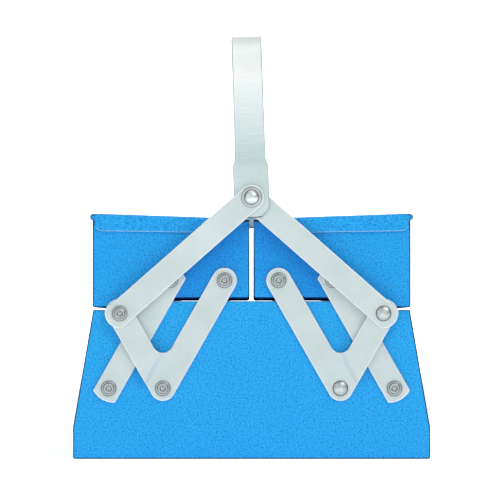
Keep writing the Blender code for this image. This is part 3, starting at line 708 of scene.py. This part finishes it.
def crank_outline():
    """V of a long leg to the tray and a short leg to the arm, round at the base pivot."""
    long_leg = leg_frame(CRANK_PIVOT, LEG)
    short_leg = leg_frame(CRANK_PIVOT, SHORT_LEG)
    half_v = (LEG_LEAN + SHORT_LEG_LEAN) / 2
    tilt = (SHORT_LEG_LEAN - LEG_LEAN) / 2
    reach = (STRAP_HALF + CROTCH_R) / sin(half_v)
    crotch = CRANK_PIVOT + Vector((sin(tilt), 0.0, cos(tilt))) * reach
    outline = arc((crotch.x, crotch.z), CROTCH_R, -SHORT_LEG_LEAN, LEG_LEAN - pi, 20)
    outline += long_leg(at_far_end(round_end(), LEG_LENGTH))
    foot = (CRANK_PIVOT.x, CRANK_PIVOT.z)
    outline += arc(foot, STRAP_HALF, pi + LEG_LEAN, 2 * pi - SHORT_LEG_LEAN, 16)
    outline += short_leg(at_far_end(blunt_end(ARM_END_REACH, ARM_END_R), SHORT_LEG_LENGTH))
    return outline


def crank(side_name, side, end_name, end):
    holes = [hole(pivot) for pivot in (CRANK_PIVOT, TRAY_PIVOT, ARM_PIVOT)]
    shape = flat_plate([crank_outline()] + holes, STRAP)
    across = Vector((LEG.z, 0.0, -LEG.x))
    start = CRANK_PIVOT + across * JOGGLE_START
    offset_band(shape, start, across, JOGGLE_RUN, SHORT_LEG_LAYER - LEG_LAYER, 8)
    strap_piece("crank", side_name, side, end_name, end, shape, LEG_LAYER, f"cranks_{side_name}")


def arm(side_name, side, end_name, end):
    direction = (HANDLE_PIVOT - ARM_PIVOT).normalized()
    length = (HANDLE_PIVOT - ARM_PIVOT).length
    tip = at_near_end(blunt_end(ARM_END_REACH, ARM_END_R))
    outline = leg_frame(ARM_PIVOT, direction)(at_far_end(round_end(), length) + tip)
    shape = flat_plate([outline, hole(ARM_PIVOT), hole(HANDLE_PIVOT)], STRAP)
    if side < 0:
        start = HANDLE_PIVOT - direction * (ARM_OFFSET_START + ARM_OFFSET_RUN)
        offset_band(shape, start, direction, ARM_OFFSET_RUN, ARM_TOP_LAYER - ARM_LAYER, 16)
    strap_piece("arm", side_name, side, end_name, end, shape, ARM_LAYER, f"arms_{side_name}")


# ---------------------------------------------------------------- rivets

SHANK_R = 2.0 * MM
# Heads as (radius, height above the seat) in millimetres, from the middle outwards
ROLLED_HEAD = ((0.0, 0.62), (0.35, 0.58), (0.8, 0.42), (1.25, 0.40), (1.6, 0.58), (1.85, 0.98), (2.15, 1.28),
               (2.55, 1.40), (2.95, 1.33), (3.25, 1.12), (3.42, 0.96), (3.62, 0.93), (4.0, 0.92), (4.4, 0.80),
               (4.7, 0.55), (4.85, 0.28), (4.84, 0.08), (4.76, 0.0))
LOW_DOME = ((0.0, 1.40), (0.8, 1.37), (1.6, 1.28), (2.4, 1.12), (3.1, 0.92), (3.8, 0.68), (4.4, 0.42),
            (4.75, 0.22), (4.85, 0.08), (4.78, 0.0))
TOP_HEAD_R = 4.6                    # of the dome on the handle's rivets
TOP_HEAD_HEIGHT = 2.6
WASHER = 0.8 * MM
WASHER_RING = ((2.4, 0.8), (4.7, 0.8), (5.0, 0.72), (5.3, 0.78), (5.9, 0.74), (6.25, 0.55),
               (6.4, 0.3), (6.35, 0.08), (6.25, 0.0), (2.4, 0.0), (2.4, 0.8))
BACK_HEAD = ((4.1, 0.0), (4.2, -0.15), (4.1, -0.5), (3.6, -0.95), (2.8, -1.2), (0.0, -1.2))


def rivet(node, end, pivot, head, material, seat, back, body):
    profile = [(radius * MM, seat + height * MM) for radius, height in head]
    profile += [(SHANK_R, seat), (SHANK_R, back)]
    profile += [(radius * MM, back + height * MM) for radius, height in BACK_HEAD]
    turned(node.replace("rivet", "rivet_turned"), profile, end, pivot, material, body, node)


def side_rivets(side_name, side, end_name, end):
    strap_face = LEG_FACE + GAP
    panel_back = -SHEET - GAP
    places = (
        ("base_crank", CRANK_PIVOT, strap_face, panel_back, "base"),
        ("base_link", LINK_PIVOT, strap_face, panel_back, "base"),
        ("tray_crank", TRAY_PIVOT, strap_face, panel_back, f"tray_{side_name}"),
        ("tray_link", LINK_TOP, strap_face, panel_back, f"tray_{side_name}"),
        ("crank_arm", ARM_PIVOT, ARM_LAYER + STRAP + GAP, SHORT_LEG_LAYER - GAP, f"cranks_{side_name}"),
    )
    for kind, pivot, seat, back, body in places:
        domed = side > 0 and kind in ("crank_arm", "base_crank")
        spot = Vector((side * pivot.x, 0.0, pivot.z))
        head, material = (LOW_DOME, DOME_STEEL) if domed else (ROLLED_HEAD, RING_STEEL)
        rivet(f"rivet_{kind}_{side_name}_{end_name}", end, spot, head, material, seat, back, body)


def handle_rivet(end_name, end):
    """Domed head on a turned washer."""
    seat = ARM_TOP_LAYER + STRAP + GAP
    face = seat + WASHER
    turns = [pi / 2 * i / 12 for i in range(12)]
    head = [(TOP_HEAD_R * sin(t), TOP_HEAD_HEIGHT * cos(t) ** 0.9) for t in turns]
    head += [(TOP_HEAD_R, 0.12), (4.5, 0.0)]
    rivet(f"rivet_handle_{end_name}", end, HANDLE_PIVOT, head, TOP_STEEL, face + GAP, ARM_LAYER - GAP,
          "handle_pivot")
    profile = [(radius * MM, seat + height * MM) for radius, height in WASHER_RING]
    turned(f"washer_turned_{end_name}", profile, end, HANDLE_PIVOT, TOP_STEEL, "handle_pivot",
           f"washer_handle_{end_name}")


# ---------------------------------------------------------------- base

def base_half_outline(rim_z, middle_z):
    half = [(PANEL_STEP_X, middle_z), (PANEL_STEP_X, rim_z), (RIM_HALF, rim_z), (BASE_HIGH.x, KINK_Z)]
    half += arc((BASE_HIGH.x - FOOT_FOLD_R, FOOT_FOLD_R), FOOT_FOLD_R, 0.0, -pi / 2, 6)
    return half


def base_end(end_name, end):
    """Pressed end panel with a lip folded in along its top edges."""
    half = base_half_outline(PAN_HIGH.z, BASE_HIGH.z)
    outline = half + [(-x, z) for x, z in reversed(half)]
    holes = []
    for sign in (1, -1):
        for pivot in (CRANK_PIVOT, LINK_PIVOT):
            holes.append(hole(Vector((sign * pivot.x, 0.0, pivot.z))))
    shape = flat_plate([outline] + holes, SHEET)
    bmesh.ops.translate(shape, verts=shape.verts, vec=(0.0, -SHEET, 0.0))
    mark_front_edges(shape)
    mirror_into_place(shape, 1, end)
    node = "base_end_" + end_name
    piece = make_piece("base_panel_" + end_name, shape, BASE_PAINT, "base", [node])
    round_edges(piece, PANEL_EDGE, 4, edge_paint=PANEL_EDGE_LIGHT_AND_SHADE, marked=True)
    lips = (
        (-PANEL_STEP_X + MM, PANEL_STEP_X - MM, BASE_HIGH.z),
        (PANEL_STEP_X + MM, RIM_HALF - LIP_INSET, PAN_HIGH.z),
        (-RIM_HALF + LIP_INSET, -PANEL_STEP_X - MM, PAN_HIGH.z),
    )
    for number, (low_x, high_x, top) in enumerate(lips):
        lip = [(low_x, top - SHEET), (high_x, top - SHEET), (high_x, top), (low_x, top)]
        shape = flat_plate([lip], RIM_LIP)
        bmesh.ops.translate(shape, verts=shape.verts, vec=(0.0, -SHEET - RIM_LIP, 0.0))
        mirror_into_place(shape, 1, end)
        piece = make_piece(f"base_lip_{end_name}_{number}", shape, BASE_PAINT, "base")
        round_edges(piece, LIP_EDGE)


def base_pan():
    """Floor and two long walls in one folded sheet, with a hem along each rim."""
    rim_centre = (RIM_HALF - HEM_R, PAN_HIGH.z - HEM_R)
    half = [(rim_centre[0] - HEM_R, rim_centre[1] - HEM_DEPTH)]
    half += arc(rim_centre, HEM_R, pi, 0.0, 12)
    half += [(BASE_HIGH.x - 0.05 * MM, KINK_Z + 0.5 * MM), (BASE_HIGH.x, KINK_Z - 0.5 * MM)]
    half += arc((BASE_HIGH.x - FOOT_FOLD_R, FOOT_FOLD_R), FOOT_FOLD_R, 0.0, -pi / 2, 8)
    section = half + [(-x, z) for x, z in reversed(half)]
    ys = [PAN_LOW.y + (PAN_HIGH.y - PAN_LOW.y) * i / 24 for i in range(25)]
    shape = grid(len(ys), len(section), lambda i, j: (section[j][0], ys[i], section[j][1]), lambda i, j: True)
    piece = make_piece("base_folded_pan", shape, BASE_PAINT, "base", ["base_pan"])
    give_sheet(piece)
    flatten_shading(piece)


# ---------------------------------------------------------------- trays

def knuckle_bounds(number):
    pitch = 2 * HALF_LENGTH / KNUCKLES
    start = -HALF_LENGTH + number * pitch
    return start + KNUCKLE_GAP / 2, start + pitch - KNUCKLE_GAP / 2


def lid_top_z(x):
    return LID_HIGH.z - (HINGE.x - x) * LID_FALL / (HINGE.x - LID_LOW.x)


def tray_half_section():
    """Outer wall, stepped floor and inner wall, from the outer wall's top."""
    r = TRAY_FOLD_R
    outer, low = TRAY_HIGH.x, TRAY_LOW.z
    high = low + TRAY_FLOOR_RISE
    section = [(outer, WALL_TOP_Z)]
    section += arc((outer - r, low + r), r, 0.0, -pi / 2, 8)
    section += [(TRAY_STEP_X, low), (TRAY_STEP_X - TRAY_STEP_RUN, high)]
    section += arc((TRAY_LOW.x + r, high + r), r, -pi / 2, -pi, 8)
    section.append((TRAY_LOW.x, INNER_WALL_TOP_Z))
    return section


def tray_pan(side_name, side):
    """Pan in one sheet; every second stretch of the outer wall rolls up round the hinge pin."""
    curl = arc((HINGE.x, HINGE.z), KNUCKLE_R, radians(228), radians(-36), 18)
    curl.append((TRAY_HIGH.x, WALL_TOP_Z + GAP))
    wall = tray_half_section()
    section = curl + wall
    curl_count = len(curl)
    ys = [TRAY_PAN_LOW.y]
    for number in range(KNUCKLES):
        start, stop = knuckle_bounds(number)
        ys.append(max(start, ys[0] + END_MARGIN))
        ys.append(min(stop, TRAY_PAN_HIGH.y - END_MARGIN))
    ys.append(TRAY_PAN_HIGH.y)

    def is_tongue(i):
        return i % 4 == 3

    def keep(i, j):
        return j >= curl_count or is_tongue(i)

    shape = grid(len(ys), len(section), lambda i, j: (side * section[j][0], ys[i], section[j][1]), keep)
    if side < 0:
        bmesh.ops.reverse_faces(shape, faces=shape.faces)
    piece = make_piece(f"tray_folded_pan_{side_name}", shape, TRAY_PAINT, f"tray_{side_name}",
                       [f"tray_{side_name}_pan"])
    give_sheet(piece)
    flatten_shading(piece)


def tray_end(side_name, side, end_name, end):
    notch_x = LID_SHEET_X - GAP
    under = SHEET + GAP
    outline = [
        (TRAY_LOW.x, lid_top_z(TRAY_LOW.x) - under),
        (notch_x, lid_top_z(notch_x) - under),
        (notch_x, WALL_TOP_Z),
    ]
    outline += tray_half_section()[:-1]
    shape = flat_plate([outline, hole(TRAY_PIVOT), hole(LINK_TOP)], SHEET)
    bmesh.ops.translate(shape, verts=shape.verts, vec=(0.0, -SHEET, 0.0))
    mark_front_edges(shape)
    mirror_into_place(shape, side, end)
    name = f"tray_panel_{side_name}_{end_name}"
    node = f"tray_{side_name}_end_{end_name}"
    piece = make_piece(name, shape, TRAY_PAINT, f"tray_{side_name}", [node])
    round_edges(piece, PANEL_EDGE, 4, edge_paint=PANEL_EDGE_LIGHT_AND_SHADE, marked=True)


# ---------------------------------------------------------------- lids

def lid(side_name, side):
    """Sloping sheet, folded down at both ends and rolled round the hinge pin in stretches."""
    flange_y = LID_HIGH.y
    fold = []
    for i in range(7):
        t = pi / 2 * i / 6
        fold.append((flange_y - LID_FOLD_R * (1 - cos(t)), LID_FOLD_R * (1 - sin(t))))
    skirt = 5
    rows = [(-flange_y, 1.0 - i / skirt) for i in range(skirt)]
    rows = [(y, "skirt", part) for y, part in rows] + [(-y, "fold", drop) for y, drop in fold]
    inner_rows = []
    for number in range(KNUCKLES):
        inner_rows += [(y, "top", 0.0) for y in knuckle_bounds(number)]
    inner_rows[0] = (-flange_y + LID_FOLD_R + END_MARGIN, "top", 0.0)
    inner_rows[-1] = (flange_y - LID_FOLD_R - END_MARGIN, "top", 0.0)
    rows = rows + inner_rows + [(-y, kind, value) for y, kind, value in reversed(rows)]
    first_top = skirt + len(fold)

    inner_x = LID_LOW.x
    corner_x = FLANGE_OUTER_X - FLANGE_CORNER_R
    columns = [inner_x, FLANGE_INNER_X] + [FLANGE_INNER_X + MM * step for step in (1.0, 2.0)]
    columns += [30 * MM, 50 * MM, 70 * MM, 88 * MM]
    columns += [corner_x + FLANGE_CORNER_R * sin(pi / 2 * i / 8) for i in range(9)]
    columns = [(min(x, LID_SHEET_X - (FLANGE_OUTER_X - x) * 0.05), x) for x in columns]
    sheet_count = len(columns)
    curl = arc((HINGE.x, HINGE.z), KNUCKLE_R, radians(96), radians(-190), 18)

    def skirt_depth(x):
        share = (x - FLANGE_INNER_X) / (FLANGE_OUTER_X - FLANGE_INNER_X)
        depth = FLANGE_INNER_DEPTH + (FLANGE_DEPTH - FLANGE_INNER_DEPTH) * share
        past = max(x - corner_x, 0.0)
        return depth - FLANGE_CORNER_R + (FLANGE_CORNER_R ** 2 - min(past, FLANGE_CORNER_R) ** 2) ** 0.5

    def spot(i, j):
        y, kind, value = rows[i]
        if j >= sheet_count:
            x, z = curl[j - sheet_count]
            return (side * x, y, z)
        sheet_x, skirt_x = columns[j]
        if kind == "top":
            return (side * sheet_x, y, lid_top_z(sheet_x))
        if kind == "fold":
            share = value / LID_FOLD_R
            x = sheet_x + (skirt_x - sheet_x) * share
            return (side * x, y, lid_top_z(x) - value)
        drop = LID_FOLD_R + (skirt_depth(skirt_x) - LID_FOLD_R) * value
        return (side * skirt_x, y, lid_top_z(skirt_x) - drop)

    def keep(i, j):
        is_top = first_top - 1 <= i < len(rows) - first_top
        if j >= sheet_count - 1:
            return is_top and (i - first_top) % 4 == 0 and i >= first_top
        return is_top or j >= 1

    shape = grid(len(rows), sheet_count + len(curl), spot, keep)
    if side > 0:
        bmesh.ops.reverse_faces(shape, faces=shape.faces)
    node = f"lid_{side_name}"
    piece = make_piece(f"lid_folded_{side_name}", shape, LID_PAINT, node, [node])
    give_sheet(piece, edge_paint=LID_EDGE_HIGHLIGHT)
    round_edges(piece, LID_EDGE, 2, edge_paint=LID_EDGE_HIGHLIGHT)


# ---------------------------------------------------------------- handle

def handle_stations():
    """Middle line (y, height above the pivot), half width and how far into the bend."""
    lug_y = -(HALF_LENGTH + LUG_LAYER + STRAP / 2)
    leg_y = -(HALF_LENGTH + HANDLE_LAYER + STRAP / 2)
    bend_start = HANDLE_TOP - STRAP / 2 - HANDLE_BEND_R
    stations = []
    for i in range(9):
        turn = pi / 2 * i / 8
        rise = LUG_CORNER_R * (1 - cos(turn))
        stations.append((lug_y, rise - LUG_BELOW, LUG_HALF - LUG_CORNER_R * (1 - sin(turn)), 0.0))
    for height in (2.0, 7.0, 12.0, 16.0):
        stations.append((lug_y, height * MM, LUG_HALF, 0.0))
    for i in range(9):
        part = smooth_step(i / 8)
        y = lug_y + (leg_y - lug_y) * part
        half = LUG_HALF + (HANDLE_LOW_HALF - LUG_HALF) * part
        stations.append((y, LUG_ABOVE + LUG_JOGGLE * i / 8, half, 0.0))
    low = LUG_ABOVE + LUG_JOGGLE
    for i in range(1, 10):
        part = i / 10
        half = HANDLE_LOW_HALF + (HANDLE_TOP_HALF - HANDLE_LOW_HALF) * part
        stations.append((leg_y, low + (bend_start - low) * part, half, smooth_step((part - 0.6) / 0.4) * 0.5))
    for i in range(19):
        turn = pi / 2 * i / 18
        y = leg_y + HANDLE_BEND_R * (1 - cos(turn))
        curl = 0.5 + 0.5 * smooth_step(turn) if i < 14 else 1.0 - 0.6 * smooth_step((i - 14) / 4)
        stations.append((y, bend_start + HANDLE_BEND_R * sin(turn), HANDLE_TOP_HALF, curl))
    for i in range(1, 12):
        y = leg_y + HANDLE_BEND_R + (-leg_y - HANDLE_BEND_R) * i / 12
        stations.append((y, bend_start + HANDLE_BEND_R, HANDLE_TOP_HALF, 0.4))
    return stations


def handle():
    """Flat strip bent over the box; its edges lift where it is bent."""
    half = handle_stations()
    middle = (0.0, half[-1][1], half[-1][2], half[-1][3])
    stations = half + [middle] + [(-y, z, width, curl) for y, z, width, curl in reversed(half)]
    across = [-1.0, -0.94, -0.82, -0.6, -0.3, 0.0, 0.3, 0.6, 0.82, 0.94, 1.0]
    lift = 0.55 * MM

    def spot(i, j):
        y, z, width, curl = stations[i]
        before, after = stations[max(i - 1, 0)], stations[min(i + 1, len(stations) - 1)]
        run = Vector((0.0, after[0] - before[0], after[1] - before[1])).normalized()
        outward = Vector((0.0, -run.z, run.y))
        raised = lift * curl * (across[j] ** 4 - 0.15)
        return Vector((across[j] * width, y, z)) + outward * raised

    shape = grid(len(stations), len(across), spot, lambda i, j: True)
    shape.transform(Matrix.Translation(HANDLE_PIVOT) @ Matrix.Rotation(HANDLE_LEAN, 4, "Y"))
    piece = make_piece("handle_strip", shape, HANDLE_ZINC_PAINTED_LIGHT, "handle", ["handle"], 60.0)
    give_sheet(piece, STRAP, 0.0)
    round_edges(piece, 0.55 * MM, 4, edge_paint=HANDLE_EDGE_PAINTED_SHADE)


# ---------------------------------------------------------------- carried-over nodes

def dress(node, material):
    """Gives a CAD node its material."""
    piece = frame["nodes"][node]
    piece.data.materials.clear()
    piece.data.materials.append(material)
    return piece


def hinge_pin(side_name, side):
    """Drawn wire with upset ends, flush with the lid's outer knuckles and painted over."""
    reach = LID_HIGH.y
    profile = [
        (0.0, -reach),
        (0.8 * MM, -reach + 0.02 * MM),
        (PIN_HEAD_R, -reach + 0.3 * MM),
        (PIN_HEAD_R, -HALF_LENGTH),
        (HINGE_PIN_R, -HALF_LENGTH),
    ]
    profile += [(r, -y) for r, y in reversed(profile)]
    node = f"hinge_pin_{side_name}"
    spot = Vector((side * HINGE.x, 0.0, HINGE.z))
    piece = turned(f"hinge_wire_{side_name}", profile, 1, spot, LID_PAINT, f"tray_{side_name}",
                   node)
    piece.location.y = 0.0


def carried_over():
    """The tray dividers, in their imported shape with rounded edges."""
    for side_name, _ in SIDES:
        for end_name, _ in ENDS:
            piece = dress(f"tray_{side_name}_divider_{end_name}", TRAY_PAINT)
            round_edges(piece, 0.25 * MM, 2)


make_camera()
make_stage()
make_lights()
base_pan()
handle()
for end_name, end in ENDS:
    base_end(end_name, end)
    handle_rivet(end_name, end)
for side_name, side in SIDES:
    tray_pan(side_name, side)
    lid(side_name, side)
    hinge_pin(side_name, side)
    for end_name, end in ENDS:
        tray_end(side_name, side, end_name, end)
        link(side_name, side, end_name, end)
        crank(side_name, side, end_name, end)
        arm(side_name, side, end_name, end)
        side_rivets(side_name, side, end_name, end)
carried_over()
bpy.context.scene.view_settings.view_transform = "Standard"

bpy.context.view_layer.update()
